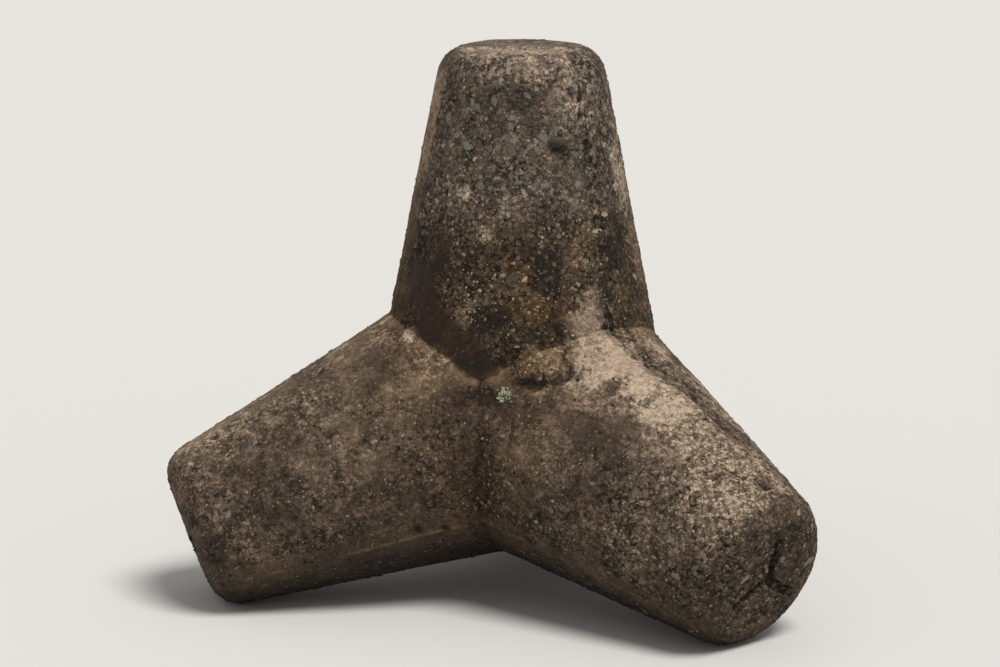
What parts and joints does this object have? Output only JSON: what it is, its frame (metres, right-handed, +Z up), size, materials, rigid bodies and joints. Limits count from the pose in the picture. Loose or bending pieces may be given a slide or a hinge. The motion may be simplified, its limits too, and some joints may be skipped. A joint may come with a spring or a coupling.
{
  "type": "concrete tetrapod",
  "caption": "Sea-defence tetrapod: a one-piece cast concrete armour unit with tapered round legs that stands on its feet and interlocks with its neighbours.",
  "frame": {"origin": "hub centre, where the axes of the four legs cross", "axes": "+Z up along the upright leg; -Y towards the side that the picture shows, with one foot to the left, one to the right and one behind"},
  "size_m": [1.6506, 1.6506, 1.415],
  "materials": {
    "concrete": "weathered rough concrete with exposed aggregate"
  },
  "bodies": {
    "root": {"tetrapod": "concrete"}
  },
  "joints": []
}
